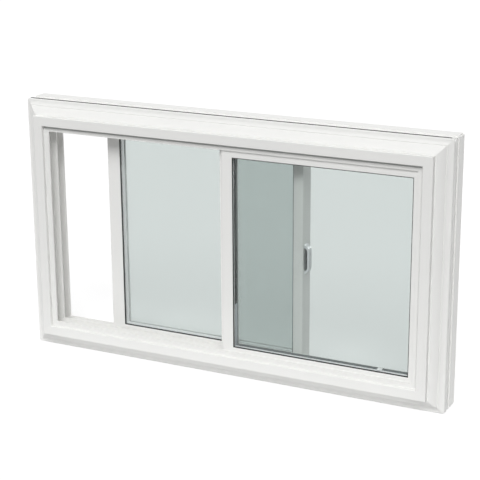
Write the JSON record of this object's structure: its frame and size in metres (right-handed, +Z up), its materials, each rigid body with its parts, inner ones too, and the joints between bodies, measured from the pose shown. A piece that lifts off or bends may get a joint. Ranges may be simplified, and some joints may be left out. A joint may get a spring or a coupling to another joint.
{
  "type": "horizontal sliding window",
  "caption": "White vinyl horizontal sliding window: moulded mitred frame, fixed glazed panel on the right and a sash on the room side, slid part way open.",
  "frame": {"origin": "under the middle of the sill, at half the frame's depth, on the level that it stands on", "axes": "+X along the window to the right as seen from outside, +Y from outside to the room, +Z up"},
  "size_m": [0.9144, 0.084, 0.5334],
  "materials": {
    "frame_vinyl": "satin white extruded vinyl",
    "sash_vinyl": "satin white extruded vinyl",
    "bead_vinyl": "satin white extruded vinyl",
    "window_glass": "clear float glass, pale green",
    "gasket_rubber": "black glazing gasket",
    "spacer_metal": "mill finish",
    "pull_plastic": "moulded white",
    "latch_black": "moulded black",
    "glide_nylon": "moulded nylon"
  },
  "bodies": {
    "root": {"frame_sill": "frame_vinyl", "frame_head": "frame_vinyl", "frame_left_jamb": "frame_vinyl", "frame_right_jamb": "frame_vinyl", "fixed_bottom_rail": "sash_vinyl", "fixed_top_rail": "sash_vinyl", "fixed_meeting_stile": "sash_vinyl", "fixed_jamb_stile": "sash_vinyl", "fixed_bead_bottom": "bead_vinyl", "fixed_bead_top": "bead_vinyl", "fixed_bead_left": "bead_vinyl", "fixed_bead_right": "bead_vinyl", "fixed_gasket": "gasket_rubber", "fixed_inner_gasket": "gasket_rubber", "fixed_outer_glass": "window_glass", "fixed_inner_glass": "window_glass", "fixed_spacer": "spacer_metal", "fixed_interlock": "sash_vinyl", "sash_bottom_rail": "sash_vinyl", "sash_top_rail": "sash_vinyl", "sash_lead_stile": "sash_vinyl", "sash_meeting_stile": "sash_vinyl", "sash_bead_bottom": "bead_vinyl", "sash_bead_top": "bead_vinyl", "sash_bead_left": "bead_vinyl", "sash_bead_right": "bead_vinyl", "sash_gasket": "gasket_rubber", "sash_inner_gasket": "gasket_rubber", "sash_outer_glass": "window_glass", "sash_inner_glass": "window_glass", "sash_spacer": "spacer_metal", "sash_interlock": "sash_vinyl", "sash_pull": "pull_plastic", "sash_latch_plate": "latch_black", "sash_glide_left": "glide_nylon", "sash_glide_right": "glide_nylon"}
  },
  "joints": []
}
